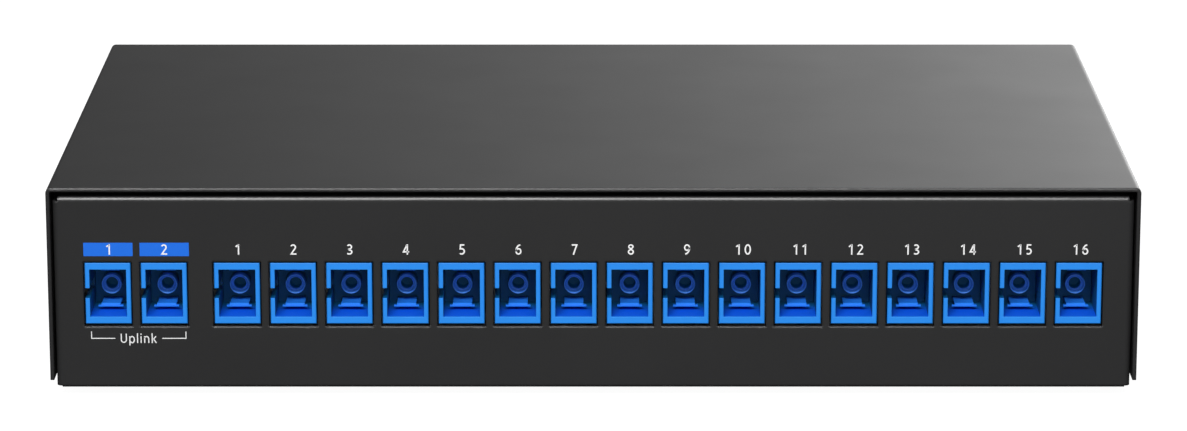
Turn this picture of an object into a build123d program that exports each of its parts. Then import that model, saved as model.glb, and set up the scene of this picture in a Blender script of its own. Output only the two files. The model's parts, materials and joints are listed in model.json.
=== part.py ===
"""A 2 x 16 passive fibre splitter in a folded steel desktop case.

X runs to the right along the port row, Y runs from the port panel to the back,
Z is up. The origin is under the middle of the case, on the plane that the feet
stand on. All sizes are in millimetres.
"""
import os

from build123d import *

os.makedirs("parts", exist_ok=True)

# Case
case_width = 221.7
case_depth = 138.7
case_height = 42.3
sheet = 0.8
bend_inside = 0.3
side_clearance = 0.4
panel_recess = 1.0
lip_clearance = 1.1
lip_depth = 8.0
return_depth = 8.0
corner_relief = 0.5
flange_height = 14.0
flange_relief = 0.6
cover_rise = 0.85
edge_break = 0.15

# Rubber feet
foot_size = 10.0
foot_height = 1.8
foot_edge = 0.6
foot_setback = 16.0
foot_inset = 18.0

# Port row
uplink_ports = 2
port_pitch = 11.416
uplink_step = 14.85
row_margin = 11.5
port_height = 19.95
face_setback = 0.3
window_width = 9.9
window_height = 13.6
window_drop = 0.1

# Adapter housing, an SC simplex body
body_width = 9.3
body_height = 12.85
body_length = 27.3
mouth_width = 7.5
mouth_height = 9.95
mouth_chamfer = 0.15
keyway_width = 2.15
keyway_depth = 10.5
collar_width = 10.5
collar_height = 14.4
collar_thickness = 1.8
snap_width = 4.0
snap_rise = 0.6
snap_length = 2.2
snap_clearance = 0.05

# Latch moulding inside each adapter, with its ferrule sleeve
latch_clearance = 0.05
latch_flange = 2.05
barrel_radius = 2.05
barrel_setback = 7.3
ferrule_bore_radius = 1.25
ferrule_bore_depth = 5.7
hook_width = 3.9
hook_ear = 0.6
hook_ear_height = 0.35
hook_inner = 3.43
hook_outer = 4.16
hook_setback = 5.0
hook_nib = 0.2
hook_nib_length = 0.9

# Adapter rail
rail_side_clearance = 2.0
rail_height = 31.5
rail_flange = 9.0
rail_lip = 6.0
rail_window_clearance = 0.1

# Cover screws, one flush in each side
screw_radius = 1.5
screw_head_radius = 2.5
screw_length = 4.0
screw_fit = 0.03
cross_width = 0.7
cross_length = 2.8
cross_depth = 0.5
screw_height = 7.6
screw_y = 0.0

# Hanging slots in the floor
hanging_spacing = 140.0
hanging_head_radius = 3.75
hanging_shank_radius = 1.9
hanging_travel = 6.0

# Splitter module and its fibres
module_length = 60.0
module_width = 12.0
module_height = 4.0
module_edge = 0.6
module_pad = 1.0
module_pad_margin = 2.0
module_y = 40.0
module_x = 0.0
cap_length = 5.0
cap_inset = 0.6
plug_width = 7.3
plug_height = 9.0
plug_reach = 13.5
plug_seat = 0.3
boot_length = 12.0
boot_root = 2.3
boot_tip = 1.3
fibre = 0.9
bend_share = 0.45
bundle_width = 7.6
bundle_height = 1.9
bundle_y = 16.0
bundle_loop_inset = 9.7
lead_flat = 8.0
lead_tail = 17.0
input_spacing = 2.2
input_back_y = 60.0
input_height = 5.0
input_loop_x = 62.0
clip_length = 3.0
clip_wall = 1.0
clip_lip = 0.8
clip_clearance = 0.1
clip_flange = 3.0

# Places worked out from the sizes
bend_outside = bend_inside + sheet
floor_under = foot_height
floor_top = floor_under + sheet
case_top = floor_under + case_height
base_width = case_width - 2 * (sheet + side_clearance)
base_depth = case_depth - 2 * panel_recess
base_height = case_height - sheet - lip_clearance
base_middle = floor_under + base_height / 2
panel_front = -base_depth / 2
mouth_y = panel_front + face_setback
port_z = floor_under + port_height
body_middle = body_length / 2
collar_front = body_middle - collar_thickness / 2
rail_front = mouth_y + collar_front - sheet
flange_end = base_depth / 2 - return_depth - flange_relief
screw_z = floor_under + screw_height
boot_start = mouth_y + body_length + plug_reach
boot_end = boot_start + boot_length

output_ports = int((case_width - 2 * row_margin - uplink_step) / port_pitch)
row_length = (output_ports + uplink_ports - 2) * port_pitch + uplink_step
uplink_x = [-row_length / 2 + i * port_pitch for i in range(uplink_ports)]
first_output_x = uplink_x[-1] + uplink_step
output_x = [first_output_x + i * port_pitch for i in range(output_ports)]
port_names = [f"uplink_{i + 1}" for i in range(uplink_ports)]
port_names += [f"{i + 1:02d}" for i in range(output_ports)]
port_x = uplink_x + output_x
ports = list(zip(port_names, port_x))


def save(piece, name):
    """Labels a finished piece and writes its STEP file."""
    piece.label = name
    export_step(piece, f"parts/{name}.step")


def facing_port(x, depth=0.0):
    """The plane across a port's mouth, or deeper in it, facing the viewer."""
    return Plane(origin=(x, mouth_y + depth, port_z), x_dir=(1, 0, 0), z_dir=(0, -1, 0))


def folded_ring(length, height):
    """A closed loop of sheet in section, with a bend at each corner."""
    RectangleRounded(length, height, bend_outside)
    RectangleRounded(length - 2 * sheet, height - 2 * sheet, bend_inside, mode=Mode.SUBTRACT)


def case_section(axis_plane):
    """A section plane through the middle of the base pan."""
    return Plane(origin=(0, 0, base_middle), x_dir=axis_plane.x_dir, z_dir=axis_plane.z_dir)


def side_plane(side, reach):
    """The plane of a side wall's outer face, centred on its screw."""
    return Plane(origin=(side * reach, screw_y, screw_z), x_dir=(0, 1, 0), z_dir=(side, 0, 0))


# Base pan: floor, port panel, rear wall, side flanges and returns in one folded sheet
lip_opening = base_depth - 2 * lip_depth
side_opening = base_depth - 2 * return_depth
with BuildPart() as base_pan:
    with BuildSketch(case_section(Plane.YZ)):
        folded_ring(base_depth, base_height)
        with Locations((0, base_height / 2)):
            Rectangle(lip_opening, 4 * sheet, mode=Mode.SUBTRACT)
    extrude(amount=base_width / 2 - bend_outside, both=True)

    with BuildSketch(Plane.XY.offset(floor_under + corner_relief)):
        folded_ring(base_width, base_depth)
        Rectangle(2 * base_width, side_opening, mode=Mode.SUBTRACT)
    extrude(amount=base_height - corner_relief - bend_outside)

    with BuildSketch(case_section(Plane.XZ)):
        folded_ring(base_width, base_height)
        with Locations((0, flange_height)):
            Rectangle(2 * base_width, base_height, mode=Mode.SUBTRACT)
    extrude(amount=flange_end, both=True)

    with BuildSketch(Plane.XZ.offset(-panel_front)):
        for x in port_x:
            with Locations((x, port_z - window_drop)):
                Rectangle(window_width, window_height)
    extrude(amount=-sheet, mode=Mode.SUBTRACT)

    with BuildSketch(Plane.XY.offset(floor_under)):
        with GridLocations(hanging_spacing, 1, 2, 1):
            Circle(hanging_head_radius)
            with Locations((0, hanging_travel / 2)):
                SlotCenterToCenter(hanging_travel, 2 * hanging_shank_radius, rotation=90)
    extrude(amount=sheet, mode=Mode.SUBTRACT)

    for side in (-1, 1):
        with Locations(side_plane(side, base_width / 2)):
            Hole(screw_radius, depth=sheet)
save(base_pan.part, "base_pan")


# Top cover: one sheet folded down at both sides, with flush screw holes
cover_height = case_height - cover_rise
with BuildPart() as top_cover:
    with BuildSketch(Plane(origin=(0, 0, case_top - cover_height / 2), x_dir=(1, 0, 0), z_dir=(0, -1, 0))):
        folded_ring(case_width, cover_height)
        with Locations((0, -cover_height / 2)):
            Rectangle(2 * case_width, 2 * bend_outside, mode=Mode.SUBTRACT)
    extrude(amount=case_depth / 2, both=True)
    chamfer(top_cover.edges().group_by(Axis.Z)[-1].filter_by(Axis.X), edge_break)
    for side in (-1, 1):
        with Locations(side_plane(side, case_width / 2)):
            Cone(
                screw_radius,
                screw_head_radius,
                sheet,
                align=(Align.CENTER, Align.CENTER, Align.MAX),
                mode=Mode.SUBTRACT,
            )
save(top_cover.part, "top_cover")


# Rail that holds the adapters by their collars
rail_width = base_width - 2 * sheet - 2 * rail_side_clearance
rail_middle_z = floor_top + rail_height / 2
with BuildPart() as adapter_rail:
    rail_section = Plane(
        origin=(0, rail_front + rail_flange, rail_middle_z), x_dir=(0, 1, 0), z_dir=(1, 0, 0)
    )
    with BuildSketch(rail_section):
        folded_ring(2 * rail_flange, rail_height)
        with Locations((rail_flange, 0)):
            Rectangle(2 * rail_flange, 2 * rail_height, mode=Mode.SUBTRACT)
        with Locations((rail_lip - rail_flange, rail_height / 2)):
            Rectangle(
                2 * rail_flange, 4 * sheet, align=(Align.MIN, Align.CENTER), mode=Mode.SUBTRACT
            )
    extrude(amount=rail_width / 2, both=True)
    with BuildSketch(Plane.XZ.offset(-rail_front)):
        for x in port_x:
            with Locations((x, port_z)):
                Rectangle(body_width + 2 * rail_window_clearance, body_height + 2 * rail_window_clearance)
    extrude(amount=-sheet, mode=Mode.SUBTRACT)
save(adapter_rail.part, "adapter_rail")


def adapter_housing(x):
    """One adapter body: an open tube with a middle collar, keyways and two snaps."""
    with BuildPart() as housing:
        with BuildSketch(facing_port(x)):
            Rectangle(body_width, body_height)
        extrude(amount=-body_length)
        chamfer(housing.faces().sort_by(Axis.Y)[0].edges(), mouth_chamfer)
        with BuildSketch(facing_port(x, collar_front)):
            Rectangle(collar_width, collar_height)
        extrude(amount=-collar_thickness)
        with BuildSketch(Plane.YZ.offset(x - snap_width / 2)):
            for up in (-1, 1):
                root_y = rail_front - snap_clearance
                face_z = port_z + up * body_height / 2
                Polygon(
                    (root_y, face_z),
                    (root_y, face_z + up * snap_rise),
                    (root_y - snap_length, face_z),
                    align=None,
                )
        extrude(amount=snap_width)
        with BuildSketch(facing_port(x)):
            Rectangle(mouth_width, mouth_height)
        extrude(amount=-body_length, mode=Mode.SUBTRACT)
        wall = (body_width - mouth_width) / 2
        with BuildSketch(facing_port(x)):
            with Locations((-(body_width - wall) / 2, 0)):
                Rectangle(2 * wall, keyway_width)
        extrude(amount=-keyway_depth, mode=Mode.SUBTRACT)
    return housing.part


def latch(x):
    """One latch moulding: a flange, the sleeve holder and a hook above and below it."""
    flange_front = body_middle - latch_flange
    with BuildPart() as moulding:
        with BuildSketch(facing_port(x, flange_front)):
            Rectangle(mouth_width - 2 * latch_clearance, mouth_height - 2 * latch_clearance)
        extrude(amount=-latch_flange)
        with BuildSketch(facing_port(x, barrel_setback)):
            Circle(barrel_radius)
        extrude(amount=barrel_setback - flange_front)
        with BuildSketch(facing_port(x, barrel_setback)):
            Circle(ferrule_bore_radius)
        extrude(amount=-ferrule_bore_depth, mode=Mode.SUBTRACT)
        tip = mouth_y + hook_setback
        with BuildSketch(Plane.YZ.offset(x - hook_width / 2)):
            for up in (-1, 1):
                Polygon(
                    (tip, port_z + up * hook_outer),
                    (tip, port_z + up * (hook_inner + 2 * hook_nib)),
                    (tip + 2 * hook_nib, port_z + up * hook_inner),
                    (tip + hook_nib_length, port_z + up * hook_inner),
                    (tip + hook_nib_length, port_z + up * (hook_inner + hook_nib)),
                    (mouth_y + flange_front, port_z + up * (hook_inner + hook_nib)),
                    (mouth_y + flange_front, port_z + up * hook_outer),
                    align=None,
                )
        extrude(amount=hook_width)
        with BuildSketch(facing_port(x, hook_setback)):
            for up in (-1, 1):
                with Locations((0, up * (hook_outer - hook_ear_height / 2))):
                    Rectangle(hook_width + 2 * hook_ear, hook_ear_height)
        extrude(amount=-hook_nib_length)
    return moulding.part


for name, x in ports:
    save(adapter_housing(x), f"adapter_{name}")
    save(latch(x), f"latch_{name}")


# Plugs of the inner pigtails, in the rear halves of the adapters, and their boots
plug_front = body_middle + plug_seat
with BuildPart() as pigtail_plugs:
    for x in port_x:
        with BuildSketch(facing_port(x, plug_front)):
            Rectangle(plug_width, plug_height)
        extrude(amount=plug_front - body_length - plug_reach)
save(pigtail_plugs.part, "pigtail_plugs")

with BuildPart() as plug_boots:
    for x in port_x:
        with Locations(facing_port(x, body_length + plug_reach + boot_length)):
            Wedge(
                2 * boot_root,
                2 * boot_root,
                boot_length,
                boot_root - boot_tip,
                boot_root - boot_tip,
                boot_root + boot_tip,
                boot_root + boot_tip,
                align=(Align.CENTER, Align.CENTER, Align.MIN),
            )
save(plug_boots.part, "plug_boots")


# Splitter module on its foam pad, with a cap at each end
module_bottom = floor_top + module_pad
module_axis_z = module_bottom + module_height / 2
module_left = module_x - module_length / 2
module_right = module_x + module_length / 2
with BuildPart() as module_foam_pad:
    with BuildSketch(Plane.XY.offset(floor_top)):
        with Locations((module_x, module_y)):
            Rectangle(module_length - 2 * module_pad_margin, module_width - 2 * module_pad_margin)
    extrude(amount=module_pad)
save(module_foam_pad.part, "module_foam_pad")

with BuildPart() as splitter_module:
    with BuildSketch(Plane(origin=(module_left, module_y, module_axis_z), x_dir=(0, 1, 0), z_dir=(1, 0, 0))):
        Rectangle(module_width, module_height)
    extrude(amount=module_length)
    chamfer(splitter_module.edges().filter_by(Axis.X), module_edge)
save(splitter_module.part, "splitter_module")

with BuildPart() as module_end_caps:
    for end_x, side in ((module_left, -1), (module_right, 1)):
        with BuildSketch(Plane(origin=(end_x, module_y, module_axis_z), x_dir=(0, 1, 0), z_dir=(side, 0, 0))):
            Rectangle(module_width - 2 * cap_inset, module_height - 2 * cap_inset)
        extrude(amount=cap_length)
save(module_end_caps.part, "module_end_caps")


def corner_radius(points, i):
    """Nearly half of the shorter run at a corner, as the tangent length of its arc."""
    before = points[i] - points[i - 1]
    after = points[i + 1] - points[i]
    half_turn = before.get_angle(after) / 2
    return bend_share * min(before.length, after.length) / tan_degrees(half_turn)


def tan_degrees(angle):
    """The tangent of an angle in degrees."""
    ray = Vector(1, 0, 0).rotate(Axis.Z, angle)
    return ray.Y / ray.X


def fibre_run(points):
    """Draws straight runs with tangent arcs between them."""
    route = [Vector(*point) for point in points]
    radii = [corner_radius(route, i) for i in range(1, len(route) - 1)]
    print("fibre bend radii", [round(radius, 1) for radius in radii])
    return FilletPolyline(*route, radius=radii)


def start_of(line):
    """The plane across a fibre's start, with its first axis level."""
    along = line % 0
    return Plane(origin=line @ 0, x_dir=along.cross(Vector(0, 0, 1)), z_dir=along)


# The 16 output pigtails: tied as one flat bundle on the floor, then a lead to each plug
bundle_end = output_x[-1] - lead_tail / 2
bundle_loop_x = bundle_loop_inset - case_width / 2
bundle_route = [
    (module_left - cap_length, module_y, module_axis_z),
    (bundle_loop_x, module_y, module_axis_z),
    (bundle_loop_x, bundle_y, module_axis_z),
    (bundle_end, bundle_y, module_axis_z),
]
with BuildPart() as output_pigtails:
    with BuildLine() as bundle_path:
        fibre_run(bundle_route)
    with BuildSketch(start_of(bundle_path.line)):
        Rectangle(bundle_width, bundle_height)
    sweep(path=bundle_path.line)
    for x in output_x:
        with BuildLine() as lead_path:
            fibre_run(
                [
                    (x, boot_end, port_z),
                    (x, boot_end + lead_flat, port_z),
                    (x, bundle_y, module_axis_z),
                    (x - lead_tail, bundle_y, module_axis_z),
                ]
            )
        with BuildSketch(start_of(lead_path.line)):
            Rectangle(fibre, fibre)
        sweep(path=lead_path.line)
save(output_pigtails.part, "output_pigtails")

# The two input pigtails: over the bundle, along the back, into the module's right end
with BuildPart() as input_pigtails:
    for i, x in enumerate(uplink_x):
        lane = (0.5 - i) * input_spacing
        with BuildLine() as input_path:
            fibre_run(
                [
                    (x, boot_end, port_z),
                    (x, boot_end + lead_flat, port_z),
                    (x, input_back_y + lane, input_height),
                    (input_loop_x + lane, input_back_y + lane, input_height),
                    (input_loop_x + lane, module_y - lane, module_axis_z),
                    (module_right + cap_length, module_y - lane, module_axis_z),
                ]
            )
        with BuildSketch(start_of(input_path.line)):
            Rectangle(fibre, fibre)
        sweep(path=input_path.line)
save(input_pigtails.part, "input_pigtails")


# Adhesive clips that hold the bundle down, those on the front run between two leads
clip_inside = bundle_width + 2 * clip_clearance
clip_outside = clip_inside + 2 * clip_wall
clip_floor = module_axis_z - bundle_height / 2
clip_top = module_axis_z + bundle_height / 2 + clip_clearance
quarter_row = output_ports // 4
clip_places = [((module_left + bundle_loop_x) / 2, module_y)]
for lead in (quarter_row, output_ports - quarter_row):
    clip_places.append((output_x[lead] + fibre, bundle_y))
with BuildPart() as bundle_clips:
    for start_x, centre_y in clip_places:
        with BuildSketch(Plane.YZ.offset(start_x)):
            with Locations((centre_y, floor_top)):
                Rectangle(clip_outside + 2 * clip_flange, clip_wall, align=(Align.CENTER, Align.MIN))
                Rectangle(
                    clip_outside, clip_top + clip_wall - floor_top, align=(Align.CENTER, Align.MIN)
                )
            with Locations((centre_y, clip_floor)):
                Rectangle(
                    clip_inside, clip_top - clip_floor, align=(Align.CENTER, Align.MIN), mode=Mode.SUBTRACT
                )
                Rectangle(
                    clip_inside - 2 * clip_lip,
                    2 * bundle_height,
                    align=(Align.CENTER, Align.MIN),
                    mode=Mode.SUBTRACT,
                )
        extrude(amount=clip_length)
save(bundle_clips.part, "bundle_clips")


# Screws and feet
with BuildPart() as cover_screws:
    for side in (-1, 1):
        with Locations(side_plane(side, case_width / 2)):
            Cone(
                screw_radius - screw_fit,
                screw_head_radius - screw_fit,
                sheet,
                align=(Align.CENTER, Align.CENTER, Align.MAX),
            )
            Cylinder(
                screw_radius - screw_fit,
                screw_length,
                align=(Align.CENTER, Align.CENTER, Align.MAX),
            )
            for turn in (0, 90):
                Box(
                    cross_width,
                    cross_length,
                    cross_depth,
                    rotation=(0, 0, turn),
                    align=(Align.CENTER, Align.CENTER, Align.MAX),
                    mode=Mode.SUBTRACT,
                )
save(cover_screws.part, "cover_screws")

foot_x = case_width / 2 - foot_inset
foot_y = case_depth / 2 - foot_setback
for label, x, y in (
    ("foot_front_left", -foot_x, -foot_y),
    ("foot_front_right", foot_x, -foot_y),
    ("foot_rear_left", -foot_x, foot_y),
    ("foot_rear_right", foot_x, foot_y),
):
    with BuildPart() as foot:
        with BuildSketch(Plane(origin=(x, y, floor_under), x_dir=(1, 0, 0), z_dir=(0, 0, -1))):
            Rectangle(foot_size, foot_size)
        extrude(amount=foot_height)
        chamfer(foot.faces().sort_by(Axis.Z)[0].edges(), foot_edge)
    save(foot.part, label)
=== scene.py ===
# %% [markdown]
# # A desktop fibre splitter, lit and finished
#
# The part is a folded steel case with eighteen blue adapters in its front. Its shapes
# come ready from the frame, so this lesson adds what the solids don't carry: the
# finish of each material, the printing on the port panel, a camera and a light studio.
# Everything is in metres, with X along the port row, Y to the back and Z up.

# %% Start from the frame
import json
import math

import bmesh
import bpy
import numpy as np
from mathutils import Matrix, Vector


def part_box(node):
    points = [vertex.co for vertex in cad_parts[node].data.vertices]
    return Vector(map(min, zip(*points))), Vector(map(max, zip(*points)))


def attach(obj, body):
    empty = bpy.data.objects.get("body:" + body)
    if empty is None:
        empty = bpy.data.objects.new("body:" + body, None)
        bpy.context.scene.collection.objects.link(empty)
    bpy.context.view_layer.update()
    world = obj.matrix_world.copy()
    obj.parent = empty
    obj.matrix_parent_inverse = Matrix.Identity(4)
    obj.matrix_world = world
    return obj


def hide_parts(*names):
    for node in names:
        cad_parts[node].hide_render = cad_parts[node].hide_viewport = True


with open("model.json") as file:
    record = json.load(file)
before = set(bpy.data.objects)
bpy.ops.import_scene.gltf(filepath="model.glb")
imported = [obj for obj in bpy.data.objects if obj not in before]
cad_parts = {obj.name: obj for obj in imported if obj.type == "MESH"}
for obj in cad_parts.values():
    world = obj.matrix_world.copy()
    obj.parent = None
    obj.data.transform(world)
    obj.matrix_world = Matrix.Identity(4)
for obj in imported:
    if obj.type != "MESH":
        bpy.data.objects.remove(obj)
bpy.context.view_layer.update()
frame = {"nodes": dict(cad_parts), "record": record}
nodes = frame["nodes"]

# %% [markdown]
# ## The places that everything else is measured from
#
# The panel's face, the mouths of the ports and their centres are read from the frame's
# own pieces, so the printing moves along if the case is ever rebuilt at another size.

# %% Read the panel and the ports
def centre(name):
    """The middle of a frame piece's box."""
    low, high = (np.array(corner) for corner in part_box(name))
    return (low + high) / 2


uplinks = sorted(name for name in nodes if name.startswith("adapter_uplink"))
outputs = sorted(name for name in nodes if name.startswith("adapter_") and name[8:].isdigit())
panel_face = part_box("base_pan")[0][1]
mouth_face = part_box(outputs[0])[0][1]
port_z = centre(outputs[0])[2]
print("uplinks:", len(uplinks), "outputs:", len(outputs), "panel face at", round(panel_face, 4))

# %% [markdown]
# ## Arithmetic on shader sockets
#
# A finish is easier to read as a formula than as a web of links. `Value` wraps one
# socket, and Python's own operators on it add the Math nodes. `Finish` opens a
# material and adds any other node, with its settings first and its inputs after.

# %% Two small helpers for materials
port_half_height = 0.0049


class Value:
    """One socket whose number may change over the surface."""

    def __init__(self, finish, socket):
        self.finish, self.socket = finish, socket

    def math(self, operation, first, second):
        node = self.finish.node("ShaderNodeMath", {"operation": operation}, {0: first, 1: second})
        return Value(self.finish, node.outputs[0])

    def __add__(self, other):
        return self.math("ADD", self, other)

    def __sub__(self, other):
        return self.math("SUBTRACT", self, other)

    def __rsub__(self, other):
        return self.math("SUBTRACT", other, self)

    def __mul__(self, other):
        return self.math("MULTIPLY", self, other)

    def above(self, limit):
        return self.math("GREATER_THAN", self, limit)

    __radd__ = __add__
    __rmul__ = __mul__


class Finish:
    """A material that is being made: its tree, its main shader and its coordinates."""

    def __init__(self, name, stretch=(1.0, 1.0, 1.0)):
        self.material = bpy.data.materials.new(name)
        self.material.use_nodes = True
        self.tree = self.material.node_tree
        self.shader = self.tree.nodes["Principled BSDF"]
        place = self.node("ShaderNodeTexCoord").outputs["Object"]
        mapping = self.node("ShaderNodeMapping", inputs={"Vector": place, "Scale": stretch})
        self.place = mapping.outputs["Vector"]

    def node(self, kind, settings=None, inputs=None):
        new = self.tree.nodes.new(kind)
        for key, value in (settings or {}).items():
            setattr(new, key, value)
        for key, value in (inputs or {}).items():
            self.feed(new.inputs[key], value)
        return new

    def feed(self, socket, value):
        value = getattr(value, "socket", value)
        if isinstance(value, bpy.types.NodeSocket):
            self.tree.links.new(value, socket)
        else:
            socket.default_value = value

    def noise(self, size, detail=2.0):
        """Soft random blotches about `size` metres across, from 0 to 1."""
        settings = {"noise_dimensions": "3D"}
        inputs = {"Vector": self.place, "Scale": 1.0 / size, "Detail": detail}
        node = self.node("ShaderNodeTexNoise", settings, inputs)
        return Value(self, node.outputs["Fac"])

    def between(self, first, second, factor):
        """A colour from the first to the second as the factor goes from 0 to 1."""
        node = self.node("ShaderNodeMix", {"data_type": "RGBA"}, {"Factor": factor})
        sockets = [socket for socket in node.inputs if socket.type == "RGBA"]
        for socket, colour in zip(sockets, (first, second)):
            linked = isinstance(colour, bpy.types.NodeSocket)
            self.feed(socket, colour if linked else (*colour, 1.0))
        return [socket for socket in node.outputs if socket.type == "RGBA"][0]

    def along(self, axis):
        """The surface's own place along one axis."""
        return Value(self, self.node("ShaderNodeSeparateXYZ", None, {0: self.place}).outputs[axis])

    def depth(self, start, end):
        """0 up to `start` metres behind the mouths of the ports, and 1 from `end` on."""
        limits = {"From Min": mouth_face + start, "From Max": mouth_face + end}
        ramp = self.node("ShaderNodeMapRange", None, {"Value": self.along("Y"), **limits})
        return Value(self, ramp.outputs[0])

    def walls(self):
        """1 inside a port, above its floor and behind the face of its mouth, where the side walls
        get painted shade.
        """
        behind_face, in_port = 0.0002, 0.0008
        above_floor = self.along("Z").above(port_z - port_half_height)
        return above_floor * self.depth(behind_face, in_port)

    def relief(self, height, depth, strength=1.0, edge=0.0):
        """Bumps `depth` metres deep, over edges rounded by `edge` metres."""
        inputs = {"Height": height, "Distance": depth, "Strength": strength}
        if edge:
            bevel = self.node("ShaderNodeBevel", {"samples": 4}, {"Radius": edge})
            inputs["Normal"] = bevel.outputs[0]
        self.shade(Normal=self.node("ShaderNodeBump", None, inputs).outputs[0])

    def shade(self, **inputs):
        for key, value in inputs.items():
            self.feed(self.shader.inputs[key.replace("_", " ")], value)
        return self


def shades(colour, spread):
    """The same colour a little darker and a little lighter."""
    return [c * (1 - spread) for c in colour], [min(c * (1 + spread), 1.0) for c in colour]


print("helpers: Value, Finish, shades; a port's half height is", port_half_height)

# %% [markdown]
# ## Powder coat on the sheet steel
#
# Powder is melted onto the sheet, so its surface is matt and has a fine orange peel,
# with no grain direction. Two sizes of noise give that: a fine one for the relief,
# and a wide faint one for the gloss, which is never quite even on a baked coat. The
# coat flows round the sheet's cut edges, so they're rounded, in the shading alone.

# %% Powder coat
def powder_coat():
    peel_size, peel_depth = 0.0004, 0.00002
    cloud_size, round_edge = 0.02, 0.0006
    coat = Finish("powder_coat")
    peel = coat.noise(peel_size, 3.0)
    cloud = coat.noise(cloud_size)
    dark, light = shades((0.0260, 0.0260, 0.0265), 0.15)
    coat.shade(Base_Color=coat.between(dark, light, peel), Roughness=0.27 + 0.06 * cloud)
    coat.shade(IOR=1.45, Specular_IOR_Level=0.95)
    coat.relief(peel, peel_depth, 0.25, edge=round_edge)
    return coat.material


finishes = {"powder_coat": powder_coat()}
print("first finish:", *finishes)

# %% [markdown]
# ## Bare metals
#
# The rail is plated sheet, the splitter module a drawn tube, and the screws are headed
# from drawn wire. So their noise is stretched along X, the way they were rolled and
# drawn, which costs nothing more than a scale on the coordinates.

# %% Metal
def drawn_metal(name, colour, roughness):
    along_x, grain_size, grain_depth, round_edge = (0.05, 1.0, 1.0), 0.0003, 0.00001, 0.0002
    metal = Finish(name, stretch=along_x)
    grain = metal.noise(grain_size, 4.0)
    dark, light = shades(colour, 0.08)
    metal.shade(Base_Color=metal.between(dark, light, grain), Metallic=1.0)
    metal.shade(Roughness=roughness + 0.15 * grain)
    metal.relief(grain, grain_depth, 0.3, edge=round_edge)
    return metal.material


finishes["zinc_steel"] = drawn_metal("zinc_steel", (0.60, 0.62, 0.64), 0.3)
print("finishes so far:", *finishes)

# %% [markdown]
# ## Moulded plastics
#
# The adapters, their latches, the plugs, the boots and the clips are moulded. One
# function makes them all: a body colour that drifts a little, a satin skin with a
# fine spark texture from the mould, and edges rounded as a mould leaves them. Inside
# the ports the colour is painted darker, as painted shade: a deeper blue just behind
# the face, then nearly navy over a range of depths, and navy at once on the side walls.

# %% Moulded plastic
# painted shade: the colours that the insides of the ports are painted darker with
painted_shade_navy = (0.0005, 0.100, 0.260)
painted_shade_blue = (0.002, 0.125, 0.900)


def moulded(
    name, colour, roughness, edge=0.00012, spread=0.05, painted_shades=(), painted_shade_walls=False, shine=0.5
):
    """A plastic painted darker towards each (painted shade colour, start, end) with depth in the
    port.
    """
    skin_size, skin_depth, flow_size = 0.00025, 0.00001, 0.006
    body = Finish(name)
    skin = body.noise(skin_size, 2.0)
    flow = body.noise(flow_size)
    dark, light = shades(colour, spread)
    drift_and_shade = body.between(dark, light, flow)
    # painted shade: the colour darkens with depth in the port, and at once on its side walls
    for shade_colour, start, end in painted_shades:
        drift_and_shade = body.between(drift_and_shade, shade_colour, body.depth(start, end))
    if painted_shade_walls:
        drift_and_shade = body.between(drift_and_shade, painted_shade_navy, body.walls())
    body.shade(Base_Color=drift_and_shade, Roughness=roughness + 0.08 * (skin - 0.5))
    body.shade(Specular_IOR_Level=shine)
    body.relief(skin, skin_depth, 0.4, edge=edge)
    return body.material


# the adapters, latches and holders are painted darker deep in the ports: painted shade
finishes["adapter_blue"] = moulded(
    "adapter_blue", (0.017, 0.280, 0.92), 0.42, edge=0.00018,
    painted_shades=[(painted_shade_blue, 0.0002, 0.0006), (painted_shade_navy, 0.0045, 0.0100)], painted_shade_walls=True,
)
finishes["latch_blue"] = moulded(
    "latch_blue", (0.018, 0.225, 0.90), 0.38, edge=0.00008,
    painted_shades=[(painted_shade_navy, 0.0100, 0.0114)], shine=0.25,
)
# painted light: the holder is a lighter blue than the rest of the same moulding, so it reads as
# lit deep in the port
finishes["painted_light_holder_blue"] = moulded(
    "painted_light_holder_blue", (0.080, 0.330, 1.00), 0.3, edge=0.00005,
    painted_shades=[(painted_shade_navy, 0.0084, 0.0096)], shine=0.4,
)
finishes["plug_blue"] = moulded("plug_blue", (0.03, 0.20, 0.70), 0.4)
finishes["boot_white"] = moulded("boot_white", (0.80, 0.80, 0.78), 0.5)
finishes["fibre_jacket"] = moulded("fibre_jacket", (0.85, 0.84, 0.78), 0.45)
finishes["clip_nylon"] = moulded("clip_nylon", (0.78, 0.77, 0.72), 0.5)
print("finishes so far:", len(finishes))

# %% [markdown]
# ## Foam and rubber, and the rest of the metals
#
# Foam and rubber have no gloss at all, and a coarser surface than anything moulded
# hard. With them every material that the frame's record names has its finish, so the
# pieces can take theirs by name.

# %% Give every piece of the frame its finish
def soft_matt(name, colour, grain_size, depth):
    soft = Finish(name)
    grain = soft.noise(grain_size, 3.0)
    dark, light = shades(colour, 0.3)
    soft.shade(Base_Color=soft.between(dark, light, grain), Roughness=0.75 + 0.2 * grain)
    soft.relief(grain, depth, 0.8, edge=0.0003)
    return soft.material


finishes["foam"] = soft_matt("foam", (0.10, 0.10, 0.10), 0.0006, 0.0001)
finishes["rubber"] = soft_matt("rubber", (0.03, 0.03, 0.03), 0.0005, 0.00003)
finishes["module_steel"] = drawn_metal("module_steel", (0.72, 0.73, 0.74), 0.22)
finishes["black_screw"] = drawn_metal("black_screw", (0.05, 0.05, 0.05), 0.4)
for part in frame["record"]["subparts"]:
    piece = nodes[part["node"]]
    piece.data.materials.clear()
    piece.data.materials.append(finishes[part["material_slot"]])

# %% [markdown]
# ## From numbers to pieces
#
# Each thing that this lesson adds is made of simple closed shapes: a list of points and
# a list of faces that count those points. A few helpers put such shapes together, turn
# their faces outwards and let the finished piece ride on the case.

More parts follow.
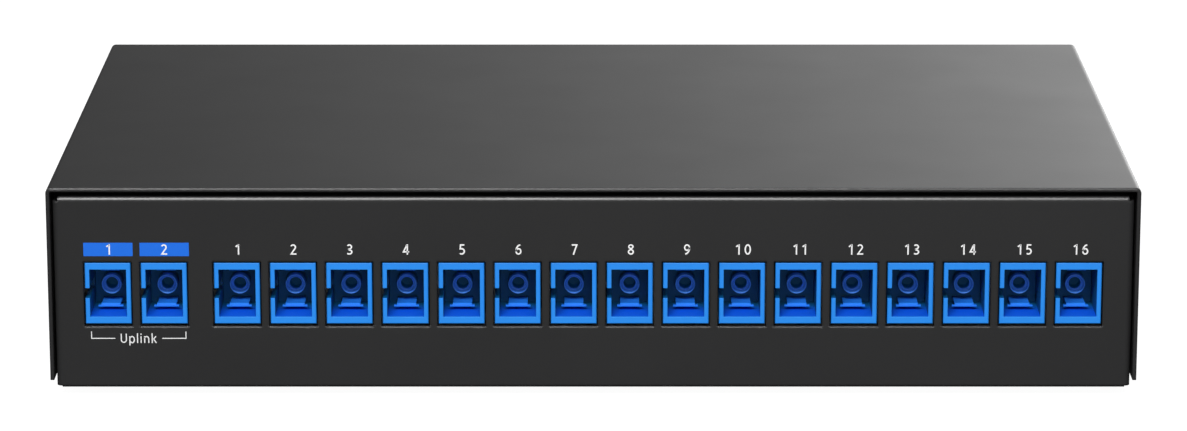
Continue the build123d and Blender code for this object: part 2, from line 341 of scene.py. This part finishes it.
# %% Put a finished mesh into the scene
def grid_faces(rows, columns, wrap=False):
    """Four-sided faces between neighbouring points of a grid, closed around if wrapped."""
    r = np.arange(rows - 1)[:, None]
    c = np.arange(columns if wrap else columns - 1)[None, :]
    here, beside = r * columns + c, r * columns + (c + 1) % columns
    return np.stack([here, beside, beside + columns, here + columns], -1).reshape(-1, 4)


def merged(shapes):
    """Several shapes as one: all their points, and faces that go on counting."""
    points, faces, count = [], [], 0
    for shape_points, shape_faces in shapes:
        points.append(shape_points)
        faces += [tuple(int(i) + count for i in face) for face in shape_faces]
        count += len(shape_points)
    return np.concatenate(points), faces


def closed_mesh(name, points, faces):
    """A mesh of closed shapes, with every face turned outwards."""
    mesh = bpy.data.meshes.new(name)
    mesh.from_pydata(points.tolist(), [], faces)
    work = bmesh.new()
    work.from_mesh(mesh)
    bmesh.ops.recalc_face_normals(work, faces=work.faces)
    work.to_mesh(mesh)
    work.free()
    return mesh


def keep(mesh, name, material):
    """Makes a mesh a piece that rides on the case, with its object at the origin."""
    piece = bpy.data.objects.new(name, mesh)
    bpy.context.scene.collection.objects.link(piece)
    mesh.materials.clear()
    mesh.materials.append(material)
    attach(piece, "root")
    return piece


print("faces of a 3 by 4 grid:", len(grid_faces(3, 4)), "or wrapped:", len(grid_faces(3, 4, True)))

# %% [markdown]
# ## Latches with a rounded sleeve holder
#
# Behind each mouth sits one moulding: a flange, a round holder with a funnel that leads
# the ferrule in, and a springy hook above and below it. The frame's own has sharp
# edges. This one takes the same measures and adds the funnel and the rounded rim, as
# a profile turned about the port's axis, and softens the hooks' edges.

# %% The holder as a turned profile
mm = 0.001
turn_steps = 48
holder_radius, bore_radius = 2.05, 1.25
funnel_radius, funnel_depth = 1.76, 1.3
funnel_lead, funnel_draft = 0.1, 0.08
holder_front, flange_front, bore_end, flange_back = 7.3, 11.6, 13.0, 13.65
rim, inner_rim = 0.13, 0.07
sleeve_proud, sunk_in_flange, bore_centre = 0.3, 0.2, 0.0001


def turned(profile):
    """Points at angle a and radius r: x = r cos a, z = r sin a, and y along the axis."""
    radius, along = np.array(profile).T
    angle = np.linspace(0, 2 * np.pi, turn_steps, endpoint=False)
    x = radius[:, None] * np.cos(angle)
    z = radius[:, None] * np.sin(angle)
    y = np.repeat(along[:, None], turn_steps, axis=1)
    return np.stack([x, y, z], -1).reshape(-1, 3), grid_faces(len(radius), turn_steps, wrap=True)


def arc(centre_r, centre_y, radius, start, end, steps=5):
    """Points of an arc in the profile's plane, angles in degrees from the radius axis."""
    a = np.radians(np.linspace(start, end, steps))
    return list(zip(centre_r + radius * np.cos(a), centre_y + radius * np.sin(a)))


funnel_floor = holder_front + funnel_depth
holder_profile = [
    (holder_radius, flange_front + sunk_in_flange),
    *arc(holder_radius - rim, holder_front + rim, rim, 0, -180),
    (funnel_radius, holder_front + rim + funnel_lead),
    (funnel_radius - funnel_draft, funnel_floor),
    (bore_radius + 2 * inner_rim, funnel_floor),
    *arc(bore_radius + inner_rim, funnel_floor - sleeve_proud, inner_rim, 0, -180),
    (bore_radius, bore_end),
    (bore_centre, bore_end),
]
holder_faces = (len(holder_profile) - 1) * turn_steps
print("holder profile:", len(holder_profile), "points,", holder_faces, "faces when turned")

# %% Blocks for the flange and the hooks
def prism(outline, low_x, high_x):
    """An outline in the y-z plane, carried from low_x to high_x and capped."""
    n = len(outline)
    y, z = np.array(outline).T
    points = np.concatenate([np.column_stack((np.full(n, x), y, z)) for x in (low_x, high_x)])
    k = np.arange(n)
    sides = np.stack([k, (k + 1) % n, (k + 1) % n + n, k + n], -1).tolist()
    return points, sides + [range(n - 1, -1, -1), range(n, 2 * n)]


hook_half, ear, ear_height, ear_proud = 1.95, 0.6, 0.35, 0.02
hook_inner, hook_outer, hook_front, nib, nib_length = 3.43, 4.16, 5.0, 0.2, 0.9
hook_side = [
    (hook_front, hook_outer),
    (hook_front, hook_inner + nib),
    (hook_front + nib, hook_inner),
    (hook_front + nib_length, hook_inner),
    (hook_front + nib_length, hook_inner + nib),
    (flange_front + sunk_in_flange, hook_inner + nib),
    (flange_front + sunk_in_flange, hook_outer),
]
ear_side = [
    (hook_front - ear_proud, hook_outer - ear_proud),
    (hook_front - ear_proud, hook_outer - ear_height),
    (hook_front + nib_length, hook_outer - ear_height),
    (hook_front + nib_length, hook_outer - ear_proud),
]
flange_half_width, flange_half_height = 3.7, 4.925
flange_side = [
    (flange_front, -flange_half_height),
    (flange_back, -flange_half_height),
    (flange_back, flange_half_height),
    (flange_front, flange_half_height),
]


def latch_shapes():
    """The moulding as separate closed shapes, in millimetres from the middle of the mouth."""
    yield turned(holder_profile)
    yield prism(flange_side, -flange_half_width, flange_half_width)
    for up in (-1, 1):
        for side, half in ((hook_side, hook_half), (ear_side, hook_half + ear)):
            outline = [(y, up * z) for y, z in side]
            yield prism(outline if up > 0 else outline[::-1], -half, half)


latch_points, latch_faces = merged(latch_shapes())
print("latch moulding:", len(latch_points), "points,", len(latch_faces), "faces")

# %% Put a moulding into every port
for name in [n for n in nodes if n.startswith("adapter_") and n != "adapter_rail"]:
    port = name[8:]
    low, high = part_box(name)
    mouth = np.array([(low[0] + high[0]) / 2, low[1], (low[2] + high[2]) / 2])
    mesh = closed_mesh(f"latch_moulding_{port}", latch_points * mm + mouth, latch_faces)
    moulding = keep(mesh, f"latch_moulding_{port}", finishes["latch_blue"])
    # the holder's faces take the lighter blue, which is painted light
    mesh.materials.append(finishes["painted_light_holder_blue"])
    for face in mesh.polygons:
        face.use_smooth = face.index < holder_faces
        face.material_index = int(face.index < holder_faces)
    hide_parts(f"latch_{port}")
print("latch mouldings:", len(uplinks) + len(outputs))

# %% [markdown]
# ## Numbers drawn as strokes
#
# The numbers and the word are screen printed: thin ink of one line width. So each
# character is a few strokes, and a stroke is a ribbon carried along a path, in units of
# the character's height. Round parts are pieces of an ellipse.

# %% Paths for the strokes
def bow(cx, cy, rx, ry, start, end, steps=18):
    """A piece of an ellipse about (cx, cy), from one angle in degrees to another."""
    a = np.radians(np.linspace(start, end, steps))
    return np.column_stack((cx + rx * np.cos(a), cy + ry * np.sin(a)))


def straight(*points):
    return np.array(points, float)


def joined(*runs):
    """Several runs as one path, without the doubled points where they meet."""
    same_point = 1e-4
    path = np.concatenate(runs)
    step = np.linalg.norm(np.diff(path, axis=0), axis=1)
    return path[np.concatenate(([True], step > same_point))]


print("a full ellipse:", len(bow(0, 0, 1, 1, 0, 360)), "points")

# %% Strokes of the characters
stroke = 0.132
h = stroke / 2
# each character: how far it advances the pen, and its paths
glyphs = {
    "0": (0.60, [bow(0.30, 0.5, 0.30 - h, 0.5 - h, 90, 450, 40)]),
    "1": (0.376, [straight((0.31, 0.0), (0.31, 1.0)), straight((0.05, 0.76), (0.31, 0.95))]),
    "2": (0.55, [
        joined(
            bow(0.25, 0.72, 0.21, 0.28 - h, 155, -20),
            straight((0.40, 0.56), (0.06, h), (0.55, h)),
        ),
    ]),
    "3": (0.54, [
        joined(bow(0.24, 0.745, 0.20, 0.255 - h, 145, -90), straight((0.14, 0.52))),
        joined(straight((0.14, 0.52)), bow(0.22, 0.26, 0.25, 0.26 - h, 88, -135)),
    ]),
    "4": (0.60, [
        joined(straight((0.60, 0.27), (0.07, 0.27), (0.40, 0.95))),
        straight((0.43, 0.0), (0.43, 1.0)),
    ]),
    "5": (0.54, [
        joined(
            straight((0.48, 1 - h), (0.12, 1 - h), (0.09, 0.56)),
            bow(0.22, 0.32, 0.25, 0.32 - h, 105, -130),
        ),
    ]),
    "6": (0.57, [
        bow(0.29, 0.32, 0.22, 0.32 - h, 0, 360, 36),
        joined(bow(0.50, 0.36, 0.43, 0.58, 185, 95)),
    ]),
    "7": (0.54, [straight((0.0, 1 - h), (0.47, 1 - h), (0.15, 0.0))]),
    "8": (0.56, [
        bow(0.28, 0.765, 0.19, 0.235 - h, 90, 450, 36),
        bow(0.28, 0.27, 0.22, 0.27 - h, 90, 450, 36),
    ]),
    "9": (0.57, [
        bow(0.28, 0.68, 0.22, 0.32 - h, 0, 360, 36),
        joined(bow(0.07, 0.64, 0.43, 0.58, 5, -85)),
    ]),
    "U": (0.66, [
        joined(
            straight((h, 1.0), (h, 0.34)),
            bow(0.33, 0.34, 0.33 - h, 0.34 - h, 180, 360),
            straight((0.66 - h, 1.0)),
        ),
    ]),
    "p": (0.58, [
        straight((h, -0.26), (h, 0.74)),
        bow(0.31, 0.36, 0.23, 0.37 - h / 2, 150, -150, 30),
    ]),
    "l": (0.14, [straight((h, 0.0), (h, 1.04))]),
    "i": (0.14, [straight((h, 0.0), (h, 0.73)), straight((h, 0.88), (h, 1.02))]),
    "n": (0.56, [
        straight((h, 0.0), (h, 0.73)),
        joined(
            bow(0.28, 0.43, 0.28 - h, 0.30 - h / 2, 165, 0),
            straight((0.56 - h, 0.0)),
        ),
    ]),
    "k": (0.54, [
        straight((h, 0.0), (h, 1.04)),
        straight((0.48, 0.73), (0.12, 0.34)),
        straight((0.20, 0.44), (0.50, 0.0)),
    ]),
}
print("characters:", "".join(glyphs))

# %% A ribbon of ink along a path
ink_depth = 0.00003
ink_back = 0.00001


def ribbon(path, width):
    """Points at half a width to each side of a path, with mitred corners, front and back."""
    def across(v):
        return np.column_stack((-v[:, 1], v[:, 0]))

    sharpest_mitre = 0.5
    closed = np.allclose(path[0], path[-1])
    run = np.diff(path, axis=0)
    run /= np.linalg.norm(run, axis=1)[:, None]
    before = np.vstack((run[-1] if closed else run[0], run))
    after = np.vstack((run, run[0] if closed else run[-1]))
    middle = across(before) + across(after)
    middle /= np.linalg.norm(middle, axis=1)[:, None]
    reach = width / 2 / np.clip((middle * across(after)).sum(1), sharpest_mitre, 1.0)
    sides = np.stack([path - middle * reach[:, None], path + middle * reach[:, None]], 1)
    # four points across each station: front left, front right, back right, back left
    return sides[:, [0, 1, 1, 0]], closed


def ribbon_shape(path, width, place, scale):
    """A ribbon as a closed ring of four-sided faces, stood up on the panel."""
    section, closed = ribbon(path, width)
    n = len(section)
    flat = section.reshape(-1, 2) * scale + place
    front = np.tile([1, 1, 0, 0], n).astype(bool)
    depth = np.where(front, panel_face - ink_depth, panel_face + ink_back)
    points = np.column_stack((flat[:, 0], depth, flat[:, 1]))
    faces = grid_faces(n, 4, wrap=True).tolist()
    if not closed:
        faces += [[0, 1, 2, 3], [4 * n - 1, 4 * n - 2, 4 * n - 3, 4 * n - 4]]
    return points, faces


print("a straight stroke:", len(ribbon_shape(glyphs["l"][1][0], stroke, (0, 0), 1)[1]), "faces")

# %% Characters side by side
def printed_word(text, height, x, z, name, material, lift=0.0, gap=0.17, weight=stroke):
    """Characters `height` tall, centred at x with their feet half a height below z."""
    width = sum(glyphs[c][0] for c in text) + gap * (len(text) - 1)
    pen = x - width * height / 2
    shapes = []
    for character in text:
        advance, paths = glyphs[character]
        for path in paths:
            points, faces = ribbon_shape(path, weight, (pen, z - height / 2), height)
            shapes.append((points - (0, lift, 0), faces))
        pen += (advance + gap) * height
    return keep(closed_mesh(name, *merged(shapes)), name, material)


def ink(name, colour, roughness):
    """Screen ink: nearly even, with the faint unevenness of a pass through the mesh."""
    weave_size = 0.0002
    layer = Finish(name)
    weave = layer.noise(weave_size, 1.0)
    dark, light = shades(colour, 0.04)
    layer.shade(Base_Color=layer.between(dark, light, weave), Roughness=roughness + 0.1 * weave)
    layer.shade(Specular_IOR_Level=0.3)
    return layer.material


white_ink = ink("white_ink", (0.95, 0.95, 0.95), 0.5)
blue_ink = ink("blue_ink", (0.012, 0.165, 0.80), 0.45)
print("inks:", white_ink.name, blue_ink.name)

# %% [markdown]
# ## Flat patches of ink
#
# The two blue tabs and the bracket are rectangles of ink. A patch is a slab with two
# ends along each axis, so its eight corners are every mix of those ends, and one numpy
# expression picks them by the bits of the corner's number.

# %% A slab of ink
def patch(left, right, low, high):
    """Corners and faces of a slab: every mix of the two ends of x, y and z."""
    ends = np.array([[left, right], [panel_face - ink_depth, panel_face + ink_back], [low, high]])
    corner = (np.arange(8)[:, None] >> np.arange(3)) & 1
    faces = [(0, 1, 5, 4), (1, 3, 7, 5), (3, 2, 6, 7), (2, 0, 4, 6), (4, 5, 7, 6), (0, 2, 3, 1)]
    return ends[np.arange(3), corner], faces


def printed_patches(patches, name, material):
    """One piece made of several slabs."""
    return keep(closed_mesh(name, *merged(patches)), name, material)


print("a slab:", len(patch(0, 1, 0, 1)[0]), "corners")

# %% [markdown]
# ## The printing on the panel
#
# A screen holds the whole print at once, so the numbers sit a touch to the right of
# their ports, all by the same amount. The white numbers of the uplinks are printed over
# the blue tabs, one layer of ink higher.

# %% Print the numbers
number_height = 0.00218
number_z = port_z + 0.00930
number_shift, uplink_shift = 0.00019, 0.00022
number_gap = 0.45

for name in outputs:
    number = int(name[8:])
    place = (centre(name)[0] + number_shift, number_z)
    piece_name = f"number_{number:02d}"
    printed_word(str(number), number_height, *place, piece_name, white_ink, gap=number_gap)
print("numbers:", len(outputs))

# %% Print the tabs of the uplinks
tab_width, tab_height = 0.0100, 0.0028
tab_low, tab_high = number_z - tab_height / 2, number_z + tab_height / 2

tabs = []
for i, name in enumerate(uplinks):
    x = centre(name)[0] + uplink_shift
    tabs.append(patch(x - tab_width / 2, x + tab_width / 2, tab_low, tab_high))
    piece_name = f"uplink_number_{i + 1}"
    printed_word(str(i + 1), number_height, x, number_z, piece_name, white_ink, lift=ink_depth)
printed_patches(tabs, "uplink_tabs", blue_ink)
print("tabs:", len(tabs))

# %% Print the bracket and its word
word_height, word_z = 0.00195, port_z - 0.00942
word_gap, word_stroke, word_shift = 0.23, 0.108, -0.00003
bracket_line, bracket_rise = 0.00017, 0.00145
bracket_shift, bracket_gap, bracket_overhang = 0.00036, 0.00478, 0.0040
line_low, line_high = word_z - bracket_line / 2, word_z + bracket_line / 2

middle = np.mean([centre(name)[0] for name in uplinks]) + bracket_shift
reach = (centre(uplinks[-1])[0] - centre(uplinks[0])[0]) / 2 + bracket_overhang
bracket = []
for side in (-1, 1):
    outer = middle + side * reach
    bracket.append(patch(*sorted((middle + side * bracket_gap, outer)), line_low, line_high))
    upright = sorted((outer, outer - side * bracket_line))
    bracket.append(patch(*upright, line_high, word_z + bracket_rise))
printed_patches(bracket, "uplink_bracket", white_ink)
printed_word(
    "Uplink", word_height, middle + word_shift, word_z, "uplink_word", white_ink,
    gap=word_gap, weight=word_stroke,
)
print("printed pieces:", len(outputs) + len(uplinks) + 3)

# %% [markdown]
# ## Floor and backdrop
#
# The picture is a product shot on white. The floor shines white by itself only for the
# camera and for reflections, and has a little paint under that, so it still takes the
# object's soft shadow. The world does the same for what lies beyond the floor.

# %% Helpers for the studio
def tree_math(tree, operation, first, second):
    """One sum on a node tree, where each side is a socket or a number."""
    node = tree.nodes.new("ShaderNodeMath")
    node.operation = operation
    for socket, value in zip(node.inputs, (first, second)):
        if isinstance(value, bpy.types.NodeSocket):
            tree.links.new(value, socket)
        else:
            socket.default_value = value
    return node.outputs[0]


def white_for_camera(tree):
    """1 for rays that look at the surface directly, in a mirror or through glass."""
    ray = tree.nodes.new("ShaderNodeLightPath").outputs
    seen = tree_math(tree, "MAXIMUM", ray["Is Camera Ray"], ray["Is Glossy Ray"])
    return tree_math(tree, "MAXIMUM", seen, ray["Is Transmission Ray"])


def flat_sheet(name, corners):
    """An object with one four-cornered face."""
    mesh = bpy.data.meshes.new(name)
    mesh.from_pydata(corners, [], [(0, 1, 2, 3)])
    sheet = bpy.data.objects.new(name, mesh)
    bpy.context.scene.collection.objects.link(sheet)
    return sheet


def glowing(name):
    """A material with an emission, not linked yet, in place of its usual shader."""
    material = bpy.data.materials.new(name)
    material.use_nodes = True
    tree = material.node_tree
    tree.nodes.remove(tree.nodes["Principled BSDF"])
    return material, tree, tree.nodes.new("ShaderNodeEmission")


print("helpers: tree_math, white_for_camera, flat_sheet, glowing")

# %% A white studio floor
span = 6.0
below = -0.0001
floor_paint, floor_glow = 0.22, 0.96

floor = flat_sheet("floor", [
    (-span, -span, below), (span, -span, below), (span, span, below), (-span, span, below),
])

paint, tree, glow = glowing("floor_paint")
matt = tree.nodes.new("ShaderNodeBsdfDiffuse")
matt.inputs["Color"].default_value = (floor_paint, floor_paint, floor_paint, 1.0)
strength = tree_math(tree, "MULTIPLY", white_for_camera(tree), floor_glow)
tree.links.new(strength, glow.inputs["Strength"])
both = tree.nodes.new("ShaderNodeAddShader")
tree.links.new(matt.outputs[0], both.inputs[0])
tree.links.new(glow.outputs[0], both.inputs[1])
tree.links.new(both.outputs[0], tree.nodes["Material Output"].inputs["Surface"])
floor.data.materials.append(paint)
print("floor:", 2 * span, "metres across, glow", floor_glow)

# %% The world beyond the floor
fill = 0.38

world = bpy.data.worlds.new("studio")
bpy.context.scene.world = world
world.use_nodes = True
tree = world.node_tree
background = tree.nodes["Background"]
background.inputs["Color"].default_value = (1.0, 1.0, 1.0, 1.0)
level = tree.nodes.new("ShaderNodeMapRange")
tree.links.new(white_for_camera(tree), level.inputs["Value"])
level.inputs["To Min"].default_value = fill
level.inputs["To Max"].default_value = 1.0
tree.links.new(level.outputs[0], background.inputs["Strength"])
print("fill light from all around:", fill)

# %% [markdown]
# ## Lamps
#
# One long softbox, up in front, lights the port panel, throws the short shadows inside
# the ports and draws a bright line along the panel's top bend. A small weak one, low in
# front, reaches the round holders deep in the ports.

# %% Softboxes
def aim(obj, place, target):
    """Turns an object's -Z axis from its place to a target."""
    direction = np.array(target) - np.array(place)
    obj.location = place
    obj.rotation_euler = (
        math.acos(-direction[2] / np.linalg.norm(direction)),
        0.0,
        math.atan2(-direction[0], direction[1]),
    )


def softbox(name, place, target, width, height, watts):
    lamp = bpy.data.lights.new(name, "AREA")
    lamp.shape = "RECTANGLE"
    lamp.size, lamp.size_y, lamp.energy = width, height, watts
    stand = bpy.data.objects.new(name, lamp)
    bpy.context.scene.collection.objects.link(stand)
    aim(stand, place, target)
    return stand


port_row = (0, 0, 0.02)
softbox("front_softbox", (-0.2, -1.3, 1.15), port_row, 1.0, 0.16, 24.0)
softbox("port_softbox", (0.1, -1.6, 0.30), port_row, 0.35, 0.35, 1.8)
print("lamps:", *(lamp.name for lamp in bpy.data.lights))

# %% [markdown]
# ## Cards for the gloss
#
# Powder coat and plastic look dark only if there is something dark to mirror. So black
# cards stand like a room around the case: on the floor, in front, at both sides, and
# overhead. Behind the case the lower part of the wall is graded instead, bright at the
# right, darker to the left and a little darker with height. The cover mirrors it, and
# brightens along. Only mirrored rays meet the cards.

# %% A card that only the gloss sees
card_dark = 0.02
back_y, front_y, card_side, card_top = 0.45, -1.5, 1.2, 0.75


def gloss_card(name, corners):
    """A four-cornered card, hidden from the camera, the fill light and the shadows."""
    card = flat_sheet(name, corners)
    card.visible_camera = card.visible_diffuse = card.visible_shadow = False
    material, tree, light = glowing(name)
    light.inputs["Strength"].default_value = card_dark
    tree.links.new(light.outputs[0], tree.nodes["Material Output"].inputs["Surface"])
    card.data.materials.append(material)
    return tree, light


def standing(y, low, high):
    """Corners of a card across the whole width, upright at y."""
    return [(-card_side, y, low), (card_side, y, low), (card_side, y, high), (-card_side, y, high)]


def lying(z, near, far):
    """Corners of a card across the whole width, level at z."""
    return [(-card_side, near, z), (card_side, near, z), (card_side, far, z), (-card_side, far, z)]


print("cards span", 2 * card_side, "by", back_y - front_y, "by", card_top, "metres")

# %% Set up the cards
card_floor, top_card_front = 0.0006, -0.5
grade_top = 0.40

gloss_card("floor_card", lying(card_floor, front_y, back_y))
gloss_card("front_card", standing(front_y, 0.0, card_top))
gloss_card("top_card", lying(card_top, top_card_front, back_y))
for side, x in (("left", -card_side), ("right", card_side)):
    corners = [(x, front_y, 0.0), (x, back_y, 0.0), (x, back_y, card_top), (x, front_y, card_top)]
    gloss_card(f"{side}_card", corners)
gloss_card("upper_card", standing(back_y, grade_top, card_top))
graded_tree, graded_light = gloss_card("graded_card", standing(back_y, 0.0, grade_top))

# %% Grade the card behind the case
grade_middle, grade_growth, grade_end, grade_fall = 0.55, 6.15, 0.3, 2.5


def card_math(operation, first, second):
    return tree_math(graded_tree, operation, first, second)


# strength = middle * e^(growth * x - fall * z), the same from grade_end on
place = graded_tree.nodes.new("ShaderNodeTexCoord")
split = graded_tree.nodes.new("ShaderNodeSeparateXYZ")
graded_tree.links.new(place.outputs["Object"], split.inputs[0])
reach = card_math("MINIMUM", split.outputs["X"], grade_end)
rise = card_math("MULTIPLY", reach, grade_growth)
drop = card_math("MULTIPLY", split.outputs["Z"], grade_fall)
power = card_math("POWER", math.e, card_math("SUBTRACT", rise, drop))
strength = card_math("MULTIPLY", power, grade_middle)
graded_tree.links.new(strength, graded_light.inputs["Strength"])
print("brightest:", round(grade_middle * math.exp(grade_growth * grade_end), 2))

# %% [markdown]
# ## Camera
#
# The case is seen from about a metre in front and a little above, with a long lens, so
# its sides run together only slightly to the back. The camera's place, tilt and lens
# come from fitting the case's edges to those in the photo.

# %% Camera
lens, sensor_width = 146.44, 36.0
camera_place = (0.00003, -1.01715, 0.2769)
pitch_down = 14.124

camera_data = bpy.data.cameras.new("camera")
camera_data.lens = lens
camera_data.sensor_width = sensor_width
camera = bpy.data.objects.new("camera", camera_data)
camera.location = camera_place
camera.rotation_euler = (math.radians(90.0 - pitch_down), 0.0, 0.0)
bpy.context.scene.collection.objects.link(camera)
bpy.context.scene.camera = camera
bpy.context.scene.view_settings.view_transform = "Standard"
print("field of view:", round(math.degrees(camera_data.angle), 2), "degrees")
